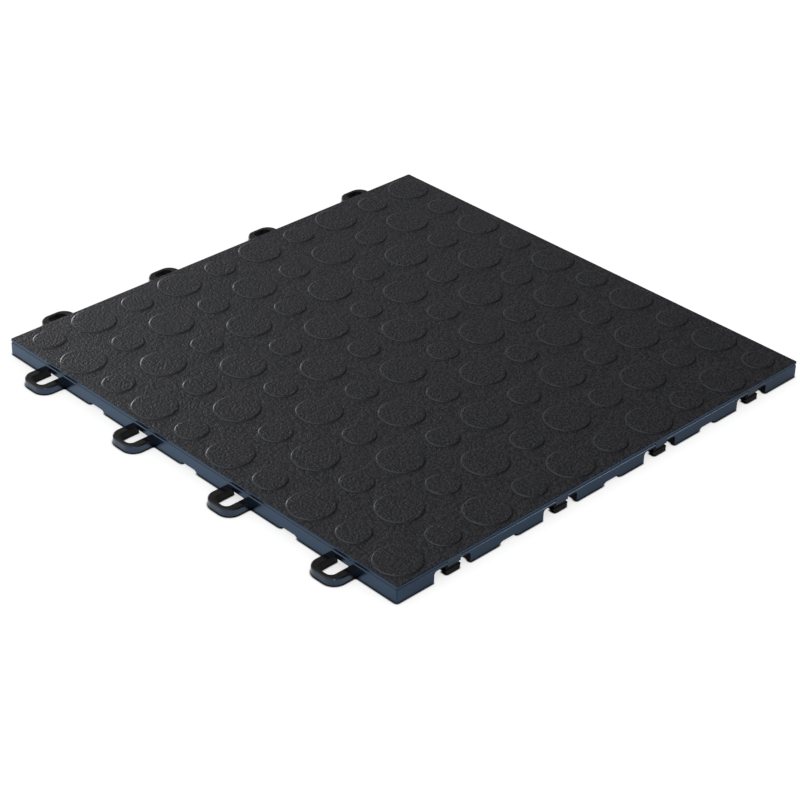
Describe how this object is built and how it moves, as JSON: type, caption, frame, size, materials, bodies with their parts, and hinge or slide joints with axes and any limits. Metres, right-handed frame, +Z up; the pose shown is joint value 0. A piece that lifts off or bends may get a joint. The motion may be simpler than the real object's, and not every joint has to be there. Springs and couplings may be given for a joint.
{
  "type": "interlocking floor tile",
  "caption": "Square moulded basement floor tile with a chequered coin top, loops on two sides and barbed pegs in sockets on the other two.",
  "frame": {"origin": "centre of the tile on the floor, on the bottom of the middle rib crossing", "axes": "+Z up out of the coin top; +X towards one peg side, +Y towards the other; the loops stand out along -X and -Y"},
  "size_m": [0.3194, 0.3194, 0.0103],
  "materials": {
    "black_vinyl": "fine matte grain on the top and coins, smooth satin sides and loops"
  },
  "bodies": {
    "root": {"floor_tile": "black_vinyl"}
  },
  "joints": []
}
